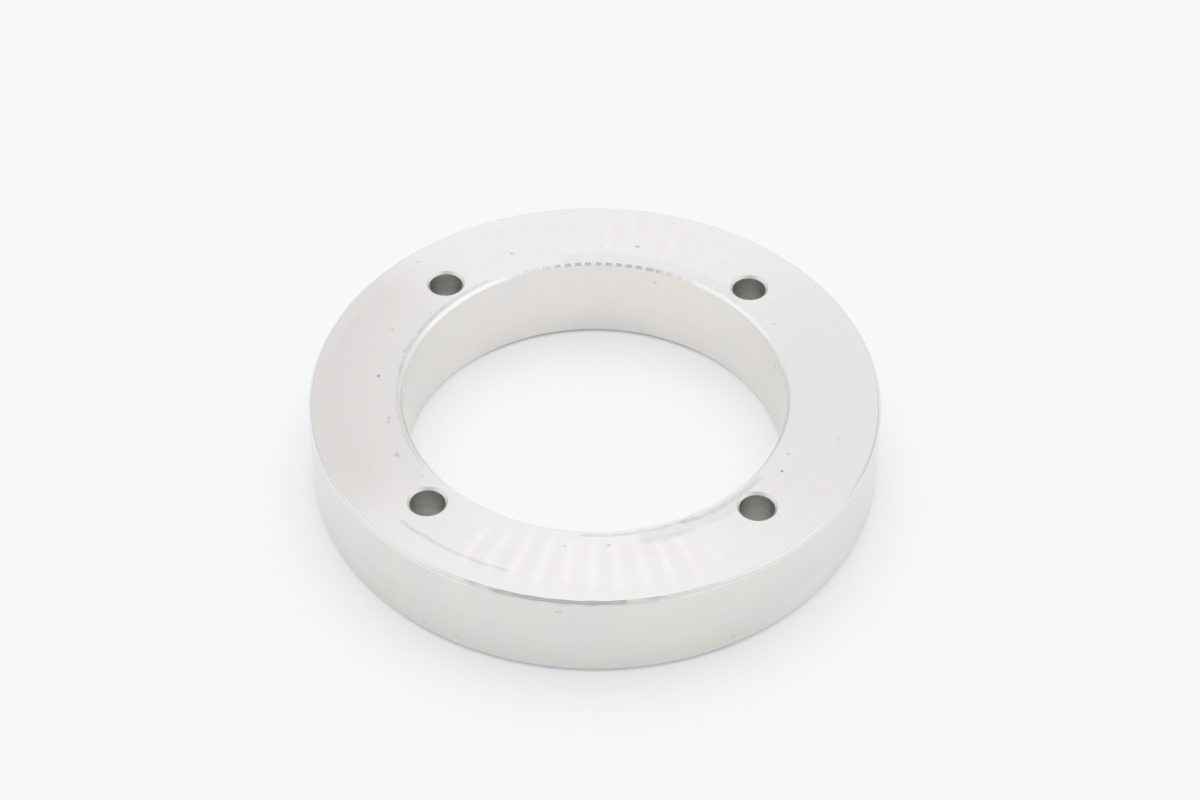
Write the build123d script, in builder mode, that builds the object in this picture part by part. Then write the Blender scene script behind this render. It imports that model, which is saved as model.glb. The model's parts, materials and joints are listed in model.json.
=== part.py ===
from build123d import *
import os

# A flat turned ring, machined from one blank of aluminium bar: a wide plain bore, two faced sides
# and four plain through holes on a pitch circle. Every edge is broken with a 45 degree chamfer.
# Lengths are in millimetres. The back face lies on Z = 0 and the ring's axis is +Z.

# Turned profile
outer_diameter = 110.0
bore_diameter = 74.0
thickness = 18.5
edge_chamfer = 0.6

# Drilled holes, placed by the wall of metal left between each hole and the bore
hole_diameter = 6.6
hole_chamfer = 0.5
hole_to_bore_wall = 2.7
hole_count = 4
first_hole_angle = 45.0
pitch_circle_diameter = bore_diameter + 2 * hole_to_bore_wall + hole_diameter

os.makedirs("parts", exist_ok=True)

with BuildPart() as turned_ring:
    # One half section of the ring, which is turned about the axis.
    with BuildSketch(Plane.XZ) as section:
        with BuildLine():
            Polyline(
                (bore_diameter / 2, 0),
                (outer_diameter / 2, 0),
                (outer_diameter / 2, thickness),
                (bore_diameter / 2, thickness),
                close=True,
            )
        make_face()
        chamfer(section.vertices(), length=edge_chamfer)
    revolve(axis=Axis.Z)

    # The holes are drilled through from face to face, and both mouths of each are deburred.
    with PolarLocations(pitch_circle_diameter / 2, hole_count, start_angle=first_hole_angle):
        Hole(hole_diameter / 2)
    hole_mouths = turned_ring.edges(Select.LAST).filter_by(GeomType.CIRCLE)
    chamfer(hole_mouths, length=hole_chamfer)

turned_ring.part.label = "turned_ring"
export_step(turned_ring.part, "parts/turned_ring.step")
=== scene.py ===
"""Looks for a flat turned aluminium ring with four plain holes, lying on a white surface."""

import json
import math

import bmesh
import bpy
import numpy as np
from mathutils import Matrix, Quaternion, Vector


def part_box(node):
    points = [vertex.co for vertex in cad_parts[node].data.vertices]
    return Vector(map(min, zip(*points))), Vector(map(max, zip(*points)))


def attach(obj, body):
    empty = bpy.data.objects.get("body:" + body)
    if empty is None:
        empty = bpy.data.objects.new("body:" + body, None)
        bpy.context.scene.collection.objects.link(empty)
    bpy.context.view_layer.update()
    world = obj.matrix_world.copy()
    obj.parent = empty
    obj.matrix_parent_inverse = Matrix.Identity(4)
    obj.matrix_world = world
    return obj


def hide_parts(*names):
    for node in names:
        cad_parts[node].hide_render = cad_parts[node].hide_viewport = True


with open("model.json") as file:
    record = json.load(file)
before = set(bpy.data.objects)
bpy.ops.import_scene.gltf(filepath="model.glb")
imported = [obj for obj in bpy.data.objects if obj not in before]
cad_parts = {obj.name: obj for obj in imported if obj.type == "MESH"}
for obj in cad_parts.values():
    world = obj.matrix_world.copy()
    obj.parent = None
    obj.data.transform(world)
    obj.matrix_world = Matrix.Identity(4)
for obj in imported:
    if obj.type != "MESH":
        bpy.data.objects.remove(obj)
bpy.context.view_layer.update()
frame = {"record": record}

MM = 0.001
NODE = "turned_ring"

# ---- Sizes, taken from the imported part
LOW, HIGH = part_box(NODE)
MOUNTS = {mount["name"]: mount for mount in frame["record"]["mounts"]}
OUTER_RADIUS = (HIGH.x - LOW.x) / 2
THICKNESS = HIGH.z - LOW.z
BORE_RADIUS = MOUNTS["bore"]["dims"]["r_mm"] * MM
HOLE_RADIUS = MOUNTS["bolt_circle"]["dims"]["hole_r_mm"] * MM
HOLE_COUNT = MOUNTS["bolt_circle"]["dims"]["count"]
PITCH_RADIUS = MOUNTS["bolt_circle"]["dims"]["pcd_mm"] / 2 * MM

# ---- Edges
FIRST_HOLE_ANGLE = math.radians(45)
EDGE_CHAMFER = 0.6 * MM
HOLE_CHAMFER = 0.5 * MM
EDGE_ROUNDING = 0.05 * MM
OUTER_ROUNDING = 0.36 * MM  # where the outer wall meets its front chamfer
FACE_MARGIN = 0.08 * MM  # flat rim between a chamfer and the quads of the face

# ---- Mesh density. A window is the patch of quads that the face leaves out round a hole.
STEPS_ROUND = 1440
STEPS_ROUNDING = 3
WINDOW_STEPS = 64
WINDOW_ROWS = 8
WINDOW_HALF_HEIGHT = 4.7 * MM
WINDOW_LOOPS = 3

# ---- Chatter: the scallops that a shaking tool left along the front chamfers. Angles are degrees.
BORE_CHATTER_COUNT = 110
BORE_CHATTER_SECTOR = (75, 102)
BORE_CHATTER_FADE = 5
BORE_CHATTER_CUT = 0.08 * MM
BORE_CHATTER_GAP = 0.27 * MM
BORE_CHATTER_GAP_SHARE = 0.5
FACE_CHATTER_DEPTH = 0.05 * MM
FACE_CHATTER_FADE = 14

# ---- Marks on the surfaces. Angles are degrees about the axis from +X, other lengths millimetres.
STREAK_COUNT = 65
STREAK_ANGLE = 270.3
# The streaked sectors are where the chatter cuts the outer chamfer more and where the face's streaks are
# painted lighter and warmer, as painted highlight.
STREAKED_SECTORS = ((245, 292, 1.0), (70, 100, 0.40))  # from, to, strength
SCORE_SECTOR = (227, 251)
SCORE_RADIUS = 49.75
SMUDGES = (  # from, to, radius, half width, darkness
    (126, 171, 38.20, 0.22, 0.14), (172, 212, 38.05, 0.15, 0.10), (268, 297, 38.45, 0.18, 0.16),
    (297, 322, 38.70, 0.35, 0.15), (284, 296, 41.00, 0.50, 0.06), (284, 314, 40.00, 0.90, 0.07),
    (44, 100, 38.60, 1.20, 0.055), (148, 196, 51.00, 0.60, 0.015),
)
PITS = (  # angle, radius, length round the ring, darkness
    (29.3, 40.2, 0.8, 0.22), (79.4, 43.2, 1.3, 0.30), (89.5, 42.6, 0.5, 0.25),
    (113.8, 43.5, 0.9, 0.28), (134.8, 51.7, 0.9, 0.18), (147.1, 39.2, 0.6, 0.20),
    (157.8, 43.4, 0.8, 0.22), (165.0, 38.7, 0.6, 0.25), (175.9, 42.0, 1.1, 0.40),
    (192.3, 40.0, 0.8, 0.22), (193.7, 40.3, 0.9, 0.20), (206.6, 41.2, 1.7, 0.20),
    (217.0, 39.8, 0.7, 0.15), (263.3, 41.4, 0.5, 0.30), (274.4, 40.9, 0.7, 0.30),
    (328.9, 41.2, 0.8, 0.42), (335.5, 40.3, 1.0, 0.18), (344.6, 47.9, 0.7, 0.15),
)
# On the bore's front chamfer
SKIPPED_SECTOR = (64, 116)
# Sectors at both ends of the skips, where the chamfer is rougher and painted lighter: painted highlight.
BORE_HIGHLIGHT_SECTORS = ((60, 69), (105, 117))
# On the outer front chamfer
SCUFF = {"angle": 278.3, "length": 3.2, "width": 3.0, "below": 0.3}
# A sector of the outer chamfer painted lighter: painted highlight.
BRIGHT_SECTOR = (192, 200)
# A sector, and the heights of the foot, where the outer chamfer is painted darker: painted shade.
SHADED_FOOT_SECTOR = (252, 282)
SHADED_FOOT_HEIGHTS = (17.6, 18.05)
# On the walls: small stains and nicks, and wide patches of the foot painted lighter or darker: the
# lighter ones painted light and the darker one painted shade.
OUTER_MARKS_AND_PAINTED_LIGHT = (  # angle, height, length, width, colour, strength
    (263.8, 15.8, 0.9, 0.7, (0.66, 0.58, 0.38), 0.60),
    (264.5, 15.7, 0.9, 0.6, (0.70, 0.63, 0.45), 0.60),
    (298.5, 2.6, 0.7, 0.7, (0.45, 0.44, 0.44), 0.50),
    (299.2, 4.2, 0.6, 0.8, (0.50, 0.49, 0.49), 0.40),
    (224.0, 1.4, 1.0, 0.8, (0.50, 0.50, 0.50), 0.30),
    (231.5, 1.1, 0.8, 0.6, (0.50, 0.50, 0.50), 0.40),
    (236.0, 2.2, 1.2, 1.4, (0.60, 0.60, 0.60), 0.30),
    (243.5, 2.6, 1.0, 1.8, (0.60, 0.60, 0.60), 0.25),
    # Painted light: a wide patch of the outer wall's foot painted lighter.
    (319.0, 2.0, 40, 9, (0.90, 0.893, 0.883), 0.60),
)
BORE_MARKS_AND_PAINTED_LIGHT_AND_SHADE = (  # as above
    (18.4, 14.7, 0.8, 0.8, (0.40, 0.40, 0.40), 0.60),
    (71.5, 15.3, 0.8, 0.8, (0.60, 0.57, 0.50), 0.60),
    # Painted shade: a wide patch of the bore wall's foot painted darker.
    (87.5, 1.5, 24, 8, (0.80, 0.78, 0.757), 0.42),
    # Painted light: two wide patches of the bore wall's foot painted lighter.
    (38.0, 1.5, 24, 8, (0.94, 0.922, 0.895), 0.50),
    (142.0, 1.5, 24, 8, (0.94, 0.922, 0.895), 0.40),
)

# ---- Zones of the faced sides and of the chamfers, in degrees and millimetres
LEFT_SECTOR = (150, 206)  # the side painted darker and warmer, as painted shade
# A band of that side painted darker still, as painted shade.
LEFT_SHADE_RADII = (50, 51.5)
WARM_RADII = (40, 42.5, 50.5, 53)  # starts, full, full, ends
BORE_CHAMFER_ENDS = (38.0, 38.5)
OUTER_CHAMFER_STARTS = (50, 51)

# ---- Colours of the bare metal
FACE_COOL = (0.913, 0.900, 0.911)
FACE_WARM = (0.913, 0.888, 0.864)
# The walls' colours are painted reflection: the bore wall is coloured lighter than the outer wall, and
# within its sector each wall takes its middle colour, warmer than its ends.
OUTER_WALL = {"ends": (0.84, 0.835, 0.825), "middle": (0.832, 0.816, 0.791), "sector": (225, 304)}
BORE_WALL = {"ends": (0.875, 0.86, 0.835), "middle": (0.890, 0.870, 0.843), "sector": (40, 140)}
WALL_WARMTH = (1.012, 1.0, 0.967)
HOLE_WALL = (0.83, 0.82, 0.795)
HOLE_CHAMFER_METAL = (0.83, 0.83, 0.83)
BORE_CHAMFER_METAL = (0.95, 0.945, 0.94)
# Painted highlight: at both ends of the skips the bore chamfer is coloured lighter, and its cuts there
# darker.
BORE_HIGHLIGHT_METAL = (1.0, 0.995, 0.99)
BORE_HIGHLIGHT_CUT_METAL = (0.91, 0.90, 0.89)
OUTER_CHAMFER_METAL = (0.865, 0.857, 0.865)
# Painted highlight, on one sector of the outer chamfer.
OUTER_CHAMFER_BRIGHT = (0.91, 0.905, 0.91)
# Painted shade, along the outer chamfer's foot at the front.
OUTER_CHAMFER_SHADE = (0.70, 0.695, 0.69)
SCUFFED_METAL = (0.86, 0.84, 0.78)
# Painted shade: the back chamfers are coloured dark so that the crevice where the ring stands on the
# floor shows dark.
BACK_CHAMFER_SHADE = (0.42, 0.42, 0.43)

# ---- Finish of the bare metal
TURNED_ROUGHNESS = 0.34
TURNED_ANISOTROPY = 0.7
DRILLED_ROUGHNESS = 0.36
CHAMFER_ROUGHNESS = 0.2
BACK_CHAMFER_ROUGHNESS = 0.5
TURNED_RELIEF = 0.006 * MM
DRILLED_RELIEF = 0.008 * MM
CHAMFER_RELIEF = 0.002 * MM
BACK_CHAMFER_RELIEF = 0.006 * MM

# ---- Camera, at the photograph's viewing angle
IMAGE_WIDTH = 1200
SENSOR_WIDTH = 36.0
FOCAL_PIXELS = 2706.0
CAMERA_AZIMUTH = math.radians(0.56)
CAMERA_ELEVATION = math.radians(43.83)
CAMERA_ROLL = math.radians(0.43)
CAMERA_DISTANCE = 518.5 * MM
CAMERA_AIM = Vector((1.0 * MM, -2.8 * MM, THICKNESS))

# ---- Floor. Its glow is how much of it stays plain white: painted light, which lightens the ring's
# shadow. There is less under the ring, where it is shaded.
BACKDROP_COLOUR = (0.928, 0.935, 0.952)
FLOOR_SIZE = 6.0
FLOOR_GLOW = 0.48
FLOOR_GLOW_UNDER_FRONT = 0.33
FLOOR_GLOW_UNDER_BACK = 0.27
FLOOR_GLOW_UNDER_SIDES = 0.49
FLOOR_GLOW_BORDER = 0.3 * MM
FLOOR_SIDES = (0.42, 0.8)  # how far sideways, as a share of the radius, the sides start and are full

# ---- The light tent that the metal mirrors. A patch is a direction, the degrees from it that are
# fully lit and the degrees at which it ends. A height or width is that of a direction of length 1.
TENT_HORIZON = 0.64
TENT_WALLS = 0.83
TENT_WALL_HEIGHT = 0.27
TENT_BEHIND = ((0, 0.72, 0.69), 15, 50)
TENT_BEHIND_CHANGE = -0.245
TENT_STRIP_WIDTHS = (0.17, 0.40)
TENT_STRIP_HEIGHTS = (0.25, 0.5)
TENT_STRIP_CHANGE = 0.33
TENT_LAMPS = (  # patch, level
    (((-0.845, -0.12, 0.51), 8, 35), 0.955),
    (((0.85, -0.13, 0.51), 18, 32), 1.0),
)
TENT_OPENINGS = (((-0.12, -0.69, 0.72), 21, 31), ((-0.15, -0.94, 0.34), 18, 30))
TENT_OPENING_LEVEL = 0.535
TENT_OPENING_COLOUR = (0.99, 1.0, 1.01)
SOFT_LIGHT = ((0, 0.2, 1), 5, 45)  # the patch overhead that lights the floor and casts the shadow
SOFT_LIGHT_SIDES = 0.486
SOFT_LIGHT_TOP = 2.43

# The last slot, for the back chamfers, carries painted shade.
FACED, TURNED, BORED, CHAMFERED, DRILLED, SHADED_BACK_CHAMFER = range(6)


# ---------------------------------------------------------------- the ring's mesh

class RingMesh:
    """Points and quads, built from closed loops of points."""

    def __init__(self):
        self.points = []
        self.faces = []
        self.materials = []

    def add(self, points):
        """Stores an array of points and returns their indices."""
        first = len(self.points)
        self.points.extend(points)
        return np.arange(first, first + len(points))

    def skin(self, loop_a, loop_b, material, keep=None):
        """Joins two closed loops with a band of quads, or only with the quads that keep marks."""
        quads = np.stack([loop_a, np.roll(loop_a, -1), np.roll(loop_b, -1), loop_b], axis=1)
        if keep is not None:
            quads = quads[keep]
        self.faces.extend(quads.tolist())
        self.materials.extend([material] * len(quads))

    def to_object(self, name):
        """The mesh as a smooth object, with no loose points and its faces turned outward."""
        data = bpy.data.meshes.new(name)
        data.from_pydata([tuple(map(float, point)) for point in self.points], [], self.faces)
        data.polygons.foreach_set("material_index", self.materials)
        data.polygons.foreach_set("use_smooth", [True] * len(self.faces))
        shape = bmesh.new()
        shape.from_mesh(data)
        unused = [vertex for vertex in shape.verts if not vertex.link_faces]
        bmesh.ops.delete(shape, geom=unused, context="VERTS")
        bmesh.ops.recalc_face_normals(shape, faces=shape.faces)
        shape.to_mesh(data)
        shape.free()
        made = bpy.data.objects.new(name, data)
        bpy.context.scene.collection.objects.link(made)
        return made


def turn(count, start=0.0):
    """Evenly spaced angles, once round."""
    return start + np.arange(count) * 2 * math.pi / count


def circle(angles, radius, height, centre=(0.0, 0.0)):
    """Points round a centre. radius and height are numbers, or one number for each angle."""
    xs = centre[0] + radius * np.cos(angles)
    ys = centre[1] + radius * np.sin(angles)
    return np.stack([xs, ys, np.broadcast_to(height, xs.shape)], axis=1)


def rounded(corners, roundings):
    """The path through corners, with a small curve at each inner one. A corner is an array of
    (radius, height) rows, one for each angle round the wall."""
    path = [corners[0]]
    for before, corner, after, rounding in zip(corners, corners[1:], corners[2:], roundings):
        into = (before - corner) / np.linalg.norm(before - corner, axis=1, keepdims=True)
        out = (after - corner) / np.linalg.norm(after - corner, axis=1, keepdims=True)
        for t in np.linspace(0, 1, STEPS_ROUNDING + 1):
            path.append(corner + rounding * (into * (1 - t) ** 2 + out * t ** 2))
    path.append(corners[-1])
    return path


def add_wall(mesh, angles, radius, outward, front_chamfer, back_chamfer, material,
             centre=(0.0, 0.0), rounding=EDGE_ROUNDING):
    """A round wall from the front face to the back face, with its chamfers. outward is 1 for an outer
    wall and -1 for a hole's. rounding is for the edge between the front chamfer and the wall.
    Returns its loops in the two faces."""
    def corner(inset, height):
        return np.stack(np.broadcast_arrays(radius - outward * inset, height, angles)[:2], axis=1)

    margin = FACE_MARGIN + EDGE_ROUNDING
    path = rounded([
        corner(np.max(front_chamfer) + margin, THICKNESS),
        corner(front_chamfer, THICKNESS),
        corner(0.0, THICKNESS - front_chamfer),
        corner(0.0, back_chamfer),
        corner(back_chamfer, 0.0),
        corner(back_chamfer + margin, 0.0),
    ], (EDGE_ROUNDING, rounding, EDGE_ROUNDING, EDGE_ROUNDING))
    chamfer_bands = 2 * STEPS_ROUNDING + 1
    bands = [FACED, *[CHAMFERED] * chamfer_bands, material, *[SHADED_BACK_CHAMFER] * chamfer_bands, FACED]
    loops = [mesh.add(circle(angles, rows[:, 0], rows[:, 1], centre)) for rows in path]
    for above, below, band in zip(loops, loops[1:], bands):
        mesh.skin(above, below, band)
    return loops[0], loops[-1]


def hole_angles():
    """The angle of each hole about the ring's axis."""
    return turn(HOLE_COUNT, FIRST_HOLE_ANGLE)


def window_border(rows, middle):
    """The vertices round a hole's window, counter-clockwise from the middle of its inner side."""
    half = WINDOW_STEPS // 2
    places = [(0, -k) for k in range(half)]
    places += [(k, -half) for k in range(WINDOW_ROWS)]
    places += [(WINDOW_ROWS, k) for k in range(-half, half)]
    places += [(WINDOW_ROWS - k, half) for k in range(WINDOW_ROWS)]
    places += [(0, half - k) for k in range(half)]
    return np.array([rows[row][(middle + step) % STEPS_ROUND] for row, step in places])


def add_face(mesh, inner_loop, outer_loop, height, rims):
    """A flat face between the bore and the outer edge, with a window of quads round each hole."""
    radii = np.linspace(-WINDOW_HALF_HEIGHT, WINDOW_HALF_HEIGHT, WINDOW_ROWS + 1) + PITCH_RADIUS
    window_rows = [mesh.add(circle(turn(STEPS_ROUND), radius, height)) for radius in radii]
    middles = [round(angle / (2 * math.pi) * STEPS_ROUND) for angle in hole_angles()]
    solid = np.ones(STEPS_ROUND, bool)
    for middle in middles:
        solid[(middle + np.arange(-WINDOW_STEPS // 2, WINDOW_STEPS // 2)) % STEPS_ROUND] = False

    mesh.skin(inner_loop, window_rows[0], FACED)
    mesh.skin(window_rows[-1], outer_loop, FACED)
    for low, high in zip(window_rows, window_rows[1:]):
        mesh.skin(low, high, FACED, keep=solid)

    for middle, rim in zip(middles, rims):
        border = window_border(window_rows, middle)
        border_points = np.array([mesh.points[i] for i in border])
        rim_points = np.array([mesh.points[i] for i in rim])
        shares = np.linspace(0, 1, WINDOW_LOOPS + 1)[1:-1]
        between = [mesh.add(border_points * (1 - t) + rim_points * t) for t in shares]
        loops = [border, *between, rim]
        for wide, narrow in zip(loops, loops[1:]):
            mesh.skin(wide, narrow, FACED)


def sector_share(angles, start, end, soft):
    """1 between two angles in degrees, falling smoothly to 0 within soft beyond each."""
    middle, half = (start + end) / 2, (end - start) / 2
    off = np.abs((np.degrees(angles) - middle + 180) % 360 - 180)
    share = np.clip((half + soft - off) / soft, 0, 1)
    return share * share * (3 - 2 * share)


def bore_chatter(angles):
    """How far the chatter widens the bore's front chamfer: at the back of the ring it is cut less
    deep, and nearly stops at each skip of the tool."""
    pitch = 2 * math.pi * BORE_RADIUS / BORE_CHATTER_COUNT
    from_skip = np.abs(np.sin(angles * BORE_CHATTER_COUNT / 2)) * pitch / math.pi
    skip = np.exp(-(from_skip / BORE_CHATTER_GAP) ** 2)
    uneven = 0.85 + 0.15 * np.sin(7 * angles + 2.1)
    share = sector_share(angles, *BORE_CHATTER_SECTOR, BORE_CHATTER_FADE)
    return -share * (BORE_CHATTER_CUT + EDGE_CHAMFER * BORE_CHATTER_GAP_SHARE * uneven * skip)


def face_chatter(angles):
    """How far the facing tool's chatter widens and narrows the outer front chamfer."""
    turns = angles - math.radians(STREAK_ANGLE)
    share = sum(strength * sector_share(angles, start, end, FACE_CHATTER_FADE)
                for start, end, strength in STREAKED_SECTORS)
    return FACE_CHATTER_DEPTH * share * np.cos(turns * STREAK_COUNT)


def build_ring():
    """The whole ring as one closed mesh."""
    mesh = RingMesh()
    around = turn(STEPS_ROUND)
    outer_chamfer = EDGE_CHAMFER + face_chatter(around)
    bore_chamfer = EDGE_CHAMFER + bore_chatter(around)
    outer = add_wall(mesh, around, OUTER_RADIUS, 1, outer_chamfer, EDGE_CHAMFER, TURNED,
                     rounding=OUTER_ROUNDING)
    bore = add_wall(mesh, around, BORE_RADIUS, -1, bore_chamfer, EDGE_CHAMFER, BORED)
    rim_steps = 2 * (WINDOW_STEPS + WINDOW_ROWS)
    rims = []
    for angle in hole_angles():
        centre = (PITCH_RADIUS * math.cos(angle), PITCH_RADIUS * math.sin(angle))
        rim_angles = turn(rim_steps, angle + math.pi)
        rims.append(
            add_wall(mesh, rim_angles, HOLE_RADIUS, -1, HOLE_CHAMFER, HOLE_CHAMFER, DRILLED, centre)
        )
    add_face(mesh, bore[0], outer[0], THICKNESS, [front for front, back in rims])
    add_face(mesh, bore[1], outer[1], 0.0, [back for front, back in rims])
    return mesh.to_object("dressed_ring")


# ---------------------------------------------------------------- node trees

def rgba(red, green, blue):
    return (red, green, blue, 1.0)


class Graph:
    """A material's or a world's node tree, with short calls for what is used here."""

    def __init__(self, owner):
        owner.use_nodes = True
        self.tree = owner.node_tree
        self.tree.nodes.clear()

    def node(self, kind, inputs=None, **settings):
        """A new node, with its settings, and with its inputs set to values or linked to sockets."""
        made = self.tree.nodes.new(kind)
        for name, value in settings.items():
            setattr(made, name, value)
        for name, value in (inputs or {}).items():
            if isinstance(value, bpy.types.NodeSocket):
                self.tree.links.new(value, made.inputs[name])
            else:
                made.inputs[name].default_value = value
        return made

    def math(self, operation, *values, clamp=False):
        inputs = dict(enumerate(values))
        return self.node("ShaderNodeMath", inputs, operation=operation, use_clamp=clamp).outputs[0]

    def total(self, first, *others):
        for other in others:
            first = self.math("ADD", first, other)
        return first

    def product(self, first, *others):
        for other in others:
            first = self.math("MULTIPLY", first, other)
        return first

    def scaled(self, value, gain, base, clamp=False):
        """base plus gain times value."""
        return self.math("MULTIPLY_ADD", value, gain, base, clamp=clamp)

    def weighted(self, base, *parts):
        """base plus the value of each part times its weight."""
        for value, weight in parts:
            base = self.scaled(value, weight, base)
        return base

    def largest(self, first, *others):
        for other in others:
            first = self.math("MAXIMUM", first, other)
        return first

    def vector(self, operation, a, b=None, scale=None):
        inputs = {name: value for name, value in ((0, a), (1, b), ("Scale", scale)) if value is not None}
        made = self.node("ShaderNodeVectorMath", inputs, operation=operation)
        return made.outputs["Value" if operation in ("LENGTH", "DOT_PRODUCT") else "Vector"]

    def ramp(self, value, low, high, to_low=0.0, to_high=1.0):
        """to_low up to low, to_high from high on, and a smooth step between them."""
        inputs = {"Value": value, "From Min": low, "From Max": high, "To Min": to_low, "To Max": to_high}
        made = self.node("ShaderNodeMapRange", inputs, interpolation_type="SMOOTHSTEP")
        return made.outputs["Result"]

    def between(self, value, low, high, soft):
        """1 from low to high, falling smoothly to 0 within soft beyond each."""
        rise = self.ramp(value, low - soft, low)
        fall = self.ramp(value, high, high + soft, 1, 0)
        return self.product(rise, fall)

    def mix_colour(self, factor, a, b):
        made = self.node("ShaderNodeMix", {0: factor, 6: a, 7: b}, data_type="RGBA")
        return made.outputs[2]

    def mix_shader(self, share, a, b):
        return self.node("ShaderNodeMixShader", {0: share, 1: a, 2: b}).outputs[0]

    def noise(self, vector, scale=1.0, detail=2.0, roughness=0.5):
        """Noise about 0, mostly within 1 either way."""
        inputs = {"Vector": vector, "Scale": scale, "Detail": detail, "Roughness": roughness}
        value = self.node("ShaderNodeTexNoise", inputs).outputs["Fac"]
        return self.scaled(value, 4.0, -2.0)


class Surface(Graph):
    """A material of the ring, with the place of each point of it in degrees and millimetres."""

    def __init__(self, name):
        self.material = bpy.data.materials.new(name)
        super().__init__(self.material)
        place = self.node("ShaderNodeTexCoord").outputs["Object"]
        self.place = self.vector("SCALE", place, scale=1 / MM)
        flat = self.vector("MULTIPLY", self.place, (1, 1, 0))
        self.radius = self.vector("LENGTH", flat)
        self.outward = self.vector("NORMALIZE", flat)
        axes = self.node("ShaderNodeSeparateXYZ", {0: self.place}).outputs
        self.height = axes["Z"]
        self.front = self.math("GREATER_THAN", self.height, THICKNESS / MM / 2)
        turned = self.math("DEGREES", self.math("ARCTAN2", axes["Y"], axes["X"]))
        self.angle = self.math("FLOORED_MODULO", turned, 360.0)

    def sector(self, start, end, soft):
        """1 between two angles, falling smoothly to 0 within soft beyond each."""
        return self.between(self.angle, start, end, soft)

    def scallops(self, count):
        """A row of arches round the ring, from 0 up to 1 and back, count of them in each half turn."""
        turns = self.math("RADIANS", self.product(self.angle, count))
        return self.math("ABSOLUTE", self.math("SINE", turns))

    def grain(self, along, across, value, detail=2.0):
        """Noise that changes slowly round the ring, along times in a radian, and quickly with value,
        across times in a millimetre."""
        ring = self.vector("SCALE", self.outward, scale=along)
        offset = self.node("ShaderNodeCombineXYZ", {2: self.product(value, across)}).outputs[0]
        return self.noise(self.vector("ADD", ring, offset), detail=detail)

    def spot(self, angle, radius, height, length, width):
        """1 at a point of the ring, falling to 0 beyond half its length round the ring and its width."""
        turned = math.radians(angle)
        point = (radius * math.cos(turned), radius * math.sin(turned), height)
        tangent = (-math.sin(turned), math.cos(turned), 0)
        off = self.vector("SUBTRACT", self.place, point)
        along = self.vector("DOT_PRODUCT", off, tangent)
        stretch = self.vector("SCALE", tangent, scale=self.product(along, 1 / length - 1 / width))
        round_spot = self.vector("SCALE", off, scale=1 / width)
        far = self.vector("LENGTH", self.vector("ADD", round_spot, stretch))
        ragged = self.scaled(self.noise(self.place, 2.5), 0.1, far)
        return self.ramp(ragged, 0.2, 0.6, 1, 0)

    def metal(self, colour, tone, roughness, height, relief, anisotropy=0.0):
        """Ends the tree in bare metal. tone multiplies the colour, and relief is the size of the bumps
        that height makes. With anisotropy, the shine is drawn out as tool marks round the axis do."""
        tangent = self.node("ShaderNodeTangent", direction_type="RADIAL", axis="Z").outputs[0]
        bump = self.node("ShaderNodeBump", {"Height": height, "Distance": relief}).outputs[0]
        shader = self.node("ShaderNodeBsdfPrincipled", {
            "Base Color": self.vector("SCALE", colour, scale=tone), "Metallic": 1.0,
            "Roughness": roughness, "Normal": bump,
            "Anisotropic": anisotropy, "Anisotropic Rotation": 0.25, "Tangent": tangent,
        })
        self.node("ShaderNodeOutputMaterial", {"Surface": shader.outputs[0]})
        return self.material


# ---------------------------------------------------------------- materials

def chatter_streaks_and_highlight(surface):
    """The radial streaks where the facing tool chattered, broken into soft blots. They raise bumps and
    lower the roughness, and the lighter, warmer colour that they give the face is painted highlight,
    strongest in the streaked sectors.
    """
    sway = surface.product(surface.grain(1.5, 0.12, surface.radius), 0.5)
    turns = surface.scaled(surface.angle, STREAK_COUNT, -STREAK_COUNT * STREAK_ANGLE)
    phase = surface.total(surface.math("RADIANS", turns), sway)
    wave = surface.scaled(surface.math("COSINE", phase), 0.5, 0.5)
    wide = surface.math("POWER", wave, 2.2)
    uneven = surface.scaled(surface.grain(9.0, 0.05, surface.radius), 0.3, 0.8)
    blots = surface.scaled(surface.grain(11.0, 0.3, surface.radius), 0.4, 0.65)
    fine = surface.product(surface.grain(28.0, 0.04, surface.radius), 0.12)
    pattern = surface.total(surface.product(wide, uneven, blots), fine)
    reach = surface.scaled(surface.between(surface.radius, 43.5, 49, 4.5), 0.7, 0.3)
    strength = surface.weighted(
        0.05, *((surface.sector(start, end, 10), share) for start, end, share in STREAKED_SECTORS),
    )
    return surface.product(pattern, reach, strength, surface.front)


def score_line(surface):
    """The scalloped line where the facing tool was lifted: how much darker each place is."""
    scallops = surface.product(surface.scallops(STREAK_COUNT / 2), 0.15)
    wander = surface.product(surface.grain(9.0, 0.0, surface.radius), 0.1)
    edge = surface.total(SCORE_RADIUS - 0.1, scallops, wander)
    off = surface.math("ABSOLUTE", surface.math("SUBTRACT", surface.radius, edge))
    line = surface.ramp(off, 0.10, 0.60, 1, 0)
    worn = surface.scaled(surface.grain(13.0, 0.1, surface.radius), 0.45, 0.75)
    return surface.product(line, surface.sector(*SCORE_SECTOR, 3), worn, 0.15)


def dark_marks(surface):
    """The score line, the smudges and the pits of the front face: how much darker each place is."""
    dark = score_line(surface)
    ragged = surface.scaled(surface.grain(22.0, 0.7, surface.radius), 0.45, 0.75, clamp=True)
    sway = surface.product(surface.grain(7.0, 0.0, surface.radius), 0.12)
    swayed = surface.total(surface.radius, sway)
    for start, end, radius, half, darkness in SMUDGES:
        band = surface.between(swayed, radius - half, radius + half, 0.2 + 0.6 * half)
        smudge = surface.product(surface.sector(start, end, 3), band, ragged)
        dark = surface.scaled(smudge, darkness, dark)
    for angle, radius, length, darkness in PITS:
        pit = surface.spot(angle, radius, THICKNESS / MM, length, 0.35 + 0.35 * length)
        dark = surface.scaled(pit, darkness, dark)
    return surface.product(dark, surface.front)


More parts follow.
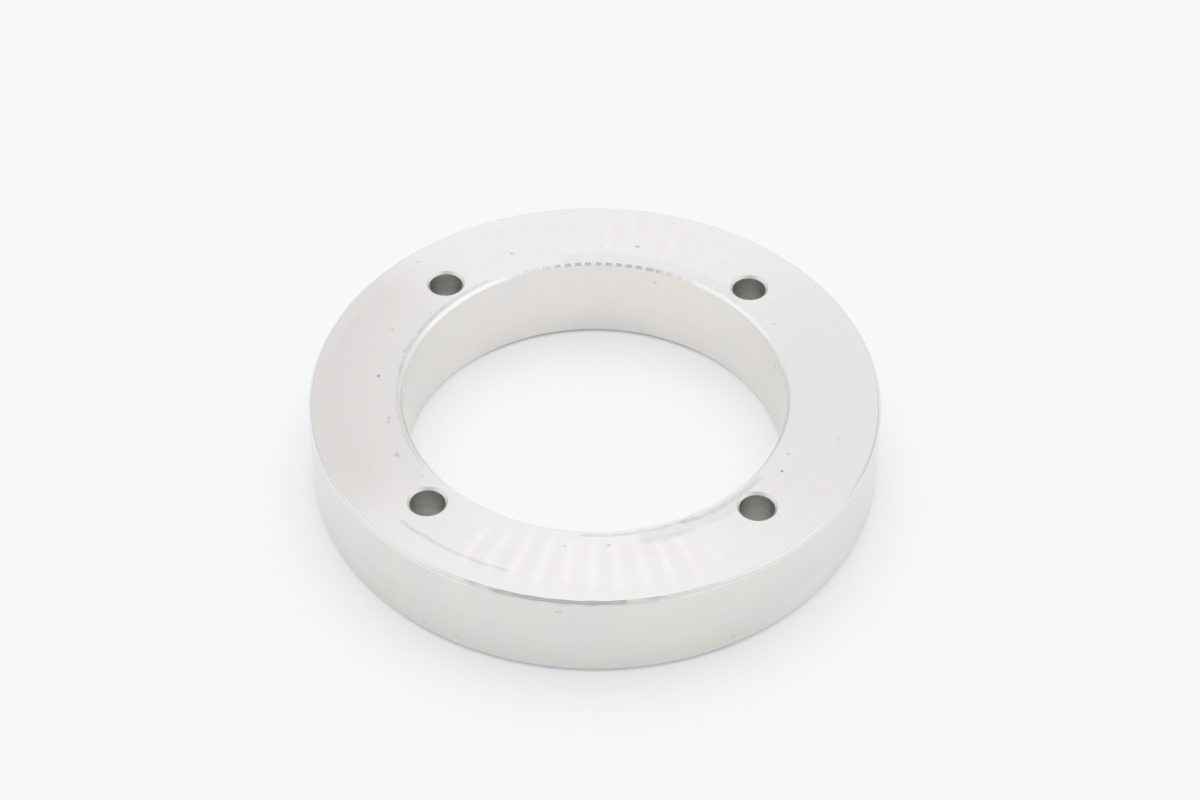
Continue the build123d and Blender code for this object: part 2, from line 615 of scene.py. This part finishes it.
def face_colour(surface, left, streaks, clouds):
    """Cool metal, warmer in a broad ring, on the left and along the streaks, with a faint blush. The
    warmth on the left is part of the painted shade there, and that along the streaks part of their
    painted highlight.
    """
    mottle = surface.noise(surface.place, 0.22)
    rings = surface.scaled(surface.grain(1.0, 0.4, surface.radius), 0.6, 0.4)
    swayed = surface.scaled(clouds, 1.5, surface.radius)
    outside = surface.largest(surface.ramp(swayed, *WARM_RADII[2:], 1, 0), left)
    middle = surface.product(surface.ramp(swayed, *WARM_RADII[:2]), outside)
    warm = surface.weighted(
        0.0, (middle, surface.scaled(left, 0.2, 0.4)), (left, rings), (mottle, 0.4), (streaks, 0.4),
    )
    warm = surface.math("MINIMUM", surface.largest(warm, 0), 1)
    colour = surface.mix_colour(warm, rgba(*FACE_COOL), rgba(*FACE_WARM))
    blush = surface.scaled(surface.noise(surface.place, 0.30), -0.006, 1.0)
    pink = surface.node("ShaderNodeCombineXYZ", {0: 1.0, 1: blush, 2: 1.0}).outputs[0]
    return surface.vector("MULTIPLY", colour, pink)


def faced_metal():
    """The two faced sides, with the rings that the tool's feed left and the marks on them."""
    surface = Surface("faced_aluminium")
    feed = surface.grain(0.8, 4.0, surface.radius)
    bands = surface.grain(1.2, 0.55, surface.radius)
    clouds = surface.noise(surface.place, 0.06)
    streaks = chatter_streaks_and_highlight(surface)
    dark = dark_marks(surface)
    # The left side, a band of it, the front and back, and the sides are painted darker: painted shade.
    left = surface.sector(*LEFT_SECTOR, 20)
    # A band of the left side, painted darker: painted shade.
    worn = surface.product(left, surface.between(surface.radius, *LEFT_SHADE_RADII, 8))
    along_y = surface.scallops(1)
    front_and_back = surface.ramp(along_y, 0.84, 0.985)
    sides = surface.ramp(along_y, 0.5, 0.8, 1, 0)
    # The streaks are painted lighter here, as painted highlight.
    tone = surface.weighted(
        1.0, (dark, -1.0), (feed, 0.006), (bands, 0.010), (streaks, 0.09),
        (left, -0.043), (worn, -0.035), (front_and_back, -0.02), (sides, -0.022),
    )
    roughness = surface.weighted(TURNED_ROUGHNESS, (bands, 0.02), (streaks, -0.04), (dark, 0.5))
    height = surface.weighted(0.0, (feed, 0.08), (streaks, 1.2), (dark, -3.0))
    colour = face_colour(surface, left, streaks, clouds)
    return surface.metal(colour, tone, roughness, height, TURNED_RELIEF, TURNED_ANISOTROPY)


def turned_metal(name, radius, colours, marks):
    """A turned wall, with the lines of the tool's feed round it and faint streaks down it. It has the
    colour of its middle within the sector, and that of its ends elsewhere: the sector's colour is
    painted reflection. Its marks are stains and nicks, and wide patches at the foot painted lighter or
    darker, as painted light and painted shade."""
    surface = Surface(name)
    feed = surface.grain(1.0, 3.5, surface.height)
    bands = surface.grain(2.5, 0.35, surface.height)
    streaks = surface.grain(24.0, 0.03, surface.height, 3.0)
    clouds = surface.noise(surface.place, 0.1)
    mottle = surface.noise(surface.place, 0.3)
    tone = surface.weighted(1.0, (feed, 0.010), (bands, 0.008), (streaks, 0.010), (clouds, 0.008))
    # Within the sector the wall takes its middle colour: painted reflection.
    sector = surface.sector(*colours["sector"], 25)
    colour = surface.mix_colour(sector, rgba(*colours["ends"]), rgba(*colours["middle"]))
    tint = surface.scaled(surface.total(clouds, mottle), 0.4, 0.5, clamp=True)
    colour = surface.mix_colour(tint, colour, surface.vector("MULTIPLY", colour, WALL_WARMTH))
    # The marks are stains and nicks, and wide patches painted lighter or darker, as painted light and
    # painted shade.
    for angle, above, length, width, mark_colour, strength in marks:
        mark = surface.product(surface.spot(angle, radius / MM, above, length, width), strength)
        colour = surface.mix_colour(mark, colour, rgba(*mark_colour))
    roughness = surface.weighted(TURNED_ROUGHNESS, (bands, 0.02), (streaks, 0.02))
    height = surface.weighted(0.0, (feed, 0.1), (streaks, 0.12))
    return surface.metal(colour, tone, roughness, height, TURNED_RELIEF, TURNED_ANISOTROPY)


def chamfered_metal():
    """The front chamfers, brighter than the rest. The bore's has skips of the tool in it, and is rougher
    and painted lighter at both ends of them, as painted highlight. The outer one has a sector painted
    lighter, as painted highlight, is painted darker along its foot at the front, as painted shade, and
    has one scuffed place."""
    surface = Surface("chamfered_aluminium")
    lines = surface.grain(3.0, 6.0, surface.height)
    patches = surface.noise(surface.place, 0.35)
    tone = surface.weighted(1.0, (lines, 0.02), (patches, 0.02))

    inner = surface.ramp(surface.radius, *BORE_CHAMFER_ENDS, 1, 0)
    outer = surface.ramp(surface.radius, *OUTER_CHAMFER_STARTS)
    holes = surface.math("SUBTRACT", surface.math("SUBTRACT", 1.0, inner), outer)
    cut = surface.ramp(surface.scallops(BORE_CHATTER_COUNT / 2), 0.20, 0.50)
    uncut = surface.math("SUBTRACT", 1.0, cut)
    skips = surface.product(uncut, inner, surface.sector(*SKIPPED_SECTOR, 4))
    # Both ends of the skips, rougher and painted lighter: painted highlight.
    both_ends = surface.total(*(surface.sector(*sector, 3) for sector in BORE_HIGHLIGHT_SECTORS))
    highlighted_ends = surface.product(inner, both_ends)
    # A sector painted lighter: painted highlight.
    bright = surface.product(outer, surface.sector(*BRIGHT_SECTOR, 8))
    # The foot of the chamfer at the front, and less in the lighter sector, painted darker: painted
    # shade.
    foot = surface.ramp(surface.height, *SHADED_FOOT_HEIGHTS, 1, 0)
    shade_band = surface.scaled(bright, 0.6, surface.sector(*SHADED_FOOT_SECTOR, 8))
    scuff = surface.spot(SCUFF["angle"], OUTER_RADIUS / MM - SCUFF["below"],
                         THICKNESS / MM - SCUFF["below"], SCUFF["length"], SCUFF["width"])

    colour = rgba(*HOLE_CHAMFER_METAL)
    for share, metal in (
        (inner, BORE_CHAMFER_METAL), (outer, OUTER_CHAMFER_METAL),
        # The ends of the bore chamfer's skips and a sector of the outer chamfer are painted lighter, as
        # painted highlight, and the outer chamfer's foot at the front darker, as painted shade.
        (highlighted_ends, BORE_HIGHLIGHT_METAL), (surface.product(cut, highlighted_ends), BORE_HIGHLIGHT_CUT_METAL),
        (bright, OUTER_CHAMFER_BRIGHT), (surface.product(shade_band, foot), OUTER_CHAMFER_SHADE),
        (scuff, SCUFFED_METAL),
    ):
        colour = surface.mix_colour(share, colour, rgba(*metal))
    roughness = surface.weighted(
        CHAMFER_ROUGHNESS, (patches, 0.03), (scuff, 0.45), (holes, 0.2), (skips, 0.3), (highlighted_ends, 0.2),
    )
    return surface.metal(colour, tone, roughness, lines, CHAMFER_RELIEF)


def drilled_metal():
    """The holes' walls, with the slanting marks that the drill's lip left."""
    surface = Surface("drilled_aluminium")
    slant = surface.vector("DOT_PRODUCT", surface.place, (0.35, 0.2, 1.0))
    marks = surface.grain(14.0, 1.6, slant)
    patches = surface.noise(surface.place, 0.5)
    tone = surface.weighted(1.0, (marks, 0.10), (patches, 0.08))
    roughness = surface.weighted(DRILLED_ROUGHNESS, (marks, 0.04))
    return surface.metal(HOLE_WALL, tone, roughness, marks, DRILLED_RELIEF)


def shaded_back_chamfer_metal():
    """The back chamfers, rough and coloured dark grey: painted shade that darkens the crevice where the
    ring stands on the floor.
    """
    surface = Surface("shaded_back_chamfer_aluminium")
    strokes = surface.grain(30.0, 2.0, surface.height)
    patches = surface.noise(surface.place, 0.4)
    tone = surface.weighted(1.0, (strokes, 0.06), (patches, 0.08))
    roughness = surface.weighted(BACK_CHAMFER_ROUGHNESS, (patches, 0.05))
    return surface.metal(BACK_CHAMFER_SHADE, tone, roughness, strokes, BACK_CHAMFER_RELIEF)


# ---------------------------------------------------------------- stage, light and camera

def floor_glow(graph, place):
    """How much of the floor stays plain white at each place, beside the ring and under it: painted
    light, less under the ring so that the crevice where it stands stays dark, least under the back and
    most under the sides.
    """
    radius = graph.vector("LENGTH", place)
    inside = graph.ramp(radius, BORE_RADIUS - FLOOR_GLOW_BORDER, BORE_RADIUS, 1, 0)
    outside = graph.ramp(radius, OUTER_RADIUS, OUTER_RADIUS + FLOOR_GLOW_BORDER)
    axes = graph.node("ShaderNodeSeparateXYZ", {0: place}).outputs
    sideways = graph.math("ABSOLUTE", graph.math("DIVIDE", axes["X"], radius))
    centre = graph.ramp(axes["Y"], -OUTER_RADIUS, OUTER_RADIUS,
                        FLOOR_GLOW_UNDER_FRONT, FLOOR_GLOW_UNDER_BACK)
    gain = graph.math("SUBTRACT", FLOOR_GLOW_UNDER_SIDES, centre)
    under = graph.scaled(graph.ramp(sideways, *FLOOR_SIDES), gain, centre)
    gain = graph.math("SUBTRACT", FLOOR_GLOW, under)
    return graph.scaled(graph.total(inside, outside), gain, under)


def add_floor():
    """A wide white floor, which keeps the ring's shadow."""
    bpy.ops.mesh.primitive_plane_add(size=FLOOR_SIZE)
    floor = bpy.context.object
    floor.name = "floor"
    material = bpy.data.materials.new("floor_white")
    graph = Graph(material)
    white = rgba(*BACKDROP_COLOUR)
    lit = graph.node("ShaderNodeBsdfDiffuse", {"Color": white}).outputs[0]
    glow = graph.node("ShaderNodeEmission", {"Color": white, "Strength": 1.0}).outputs[0]
    ray = graph.node("ShaderNodeLightPath").outputs
    seen = graph.largest(ray["Is Camera Ray"], ray["Is Glossy Ray"], ray["Is Transmission Ray"])
    place = graph.node("ShaderNodeTexCoord").outputs["Object"]
    share = graph.product(seen, floor_glow(graph, place))
    graph.node("ShaderNodeOutputMaterial", {"Surface": graph.mix_shader(share, lit, glow)})
    floor.data.materials.append(material)


class Sky(Graph):
    """The world, with the direction that each of its points lies in."""

    def __init__(self, world):
        super().__init__(world)
        self.direction = self.node("ShaderNodeTexCoord").outputs["Generated"]

    def patch(self, axis, inner, outer):
        """1 within inner degrees of an axis, falling smoothly to 0 at outer degrees."""
        dot = self.vector("DOT_PRODUCT", self.direction, Vector(axis).normalized())
        return self.ramp(dot, math.cos(math.radians(outer)), math.cos(math.radians(inner)))

    def lit(self, colour, strength):
        inputs = {"Color": rgba(*colour), "Strength": strength}
        return self.node("ShaderNodeBackground", inputs).outputs[0]


def tent_level(sky):
    """How bright the tent is: walls over a darker horizon, dimmer behind the ring, with a bright strip
    overhead and a lamp at each side."""
    axes = sky.node("ShaderNodeSeparateXYZ", {0: sky.direction}).outputs
    level = sky.ramp(axes["Z"], 0.0, TENT_WALL_HEIGHT, TENT_HORIZON, TENT_WALLS)
    narrow = sky.ramp(sky.math("ABSOLUTE", axes["X"]), *TENT_STRIP_WIDTHS, 1, 0)
    strip = sky.product(narrow, sky.ramp(axes["Z"], *TENT_STRIP_HEIGHTS))
    behind = sky.patch(*TENT_BEHIND)
    level = sky.weighted(level, (behind, TENT_BEHIND_CHANGE), (strip, TENT_STRIP_CHANGE))
    for patch, lamp in TENT_LAMPS:
        level = sky.scaled(sky.patch(*patch), sky.math("SUBTRACT", lamp, level), level)
    return level


def add_light_tent():
    """A white tent round the ring, with the dark opening that it is photographed through. Its light
    falls softly from above, and the camera sees plain white past the floor."""
    world = bpy.data.worlds.new("light_tent")
    bpy.context.scene.world = world
    sky = Sky(world)
    white = (1, 1, 1)
    opening = sky.largest(*(sky.patch(*patch) for patch in TENT_OPENINGS))
    tent = sky.mix_shader(opening, sky.lit(white, tent_level(sky)),
                          sky.lit(TENT_OPENING_COLOUR, TENT_OPENING_LEVEL))
    soft = sky.ramp(sky.patch(*SOFT_LIGHT), 0, 1, SOFT_LIGHT_SIDES, SOFT_LIGHT_TOP)
    ray = sky.node("ShaderNodeLightPath").outputs
    mirrored = sky.largest(ray["Is Glossy Ray"], ray["Is Transmission Ray"])
    unseen = sky.mix_shader(mirrored, sky.lit(white, soft), tent)
    shown = sky.mix_shader(ray["Is Camera Ray"], unseen, sky.lit(BACKDROP_COLOUR, 1.0))
    sky.node("ShaderNodeOutputWorld", {"Surface": shown})


def camera_back():
    """The direction from the ring to the camera."""
    flat = math.cos(CAMERA_ELEVATION)
    return Vector((
        math.sin(CAMERA_AZIMUTH) * flat,
        -math.cos(CAMERA_AZIMUTH) * flat,
        math.sin(CAMERA_ELEVATION),
    ))


def add_camera():
    data = bpy.data.cameras.new("camera")
    data.sensor_width = SENSOR_WIDTH
    data.lens = SENSOR_WIDTH * FOCAL_PIXELS / IMAGE_WIDTH
    camera = bpy.data.objects.new("camera", data)
    bpy.context.scene.collection.objects.link(camera)
    back = camera_back()
    camera.location = CAMERA_AIM + back * CAMERA_DISTANCE
    camera.rotation_mode = "QUATERNION"
    camera.rotation_quaternion = (-back).to_track_quat("-Z", "Y") @ Quaternion((0, 0, 1), CAMERA_ROLL)
    bpy.context.scene.camera = camera


# ---------------------------------------------------------------- the scene

ring = build_ring()
for finish in (
    faced_metal(),
    turned_metal("turned_aluminium", OUTER_RADIUS, OUTER_WALL, OUTER_MARKS_AND_PAINTED_LIGHT),
    turned_metal("bored_aluminium", BORE_RADIUS, BORE_WALL, BORE_MARKS_AND_PAINTED_LIGHT_AND_SHADE),
    chamfered_metal(),
    drilled_metal(),
    shaded_back_chamfer_metal(),
):
    ring.data.materials.append(finish)
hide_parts(NODE)
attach(ring, "root")

add_floor()
add_light_tent()
add_camera()
bpy.context.scene.view_settings.view_transform = "Standard"
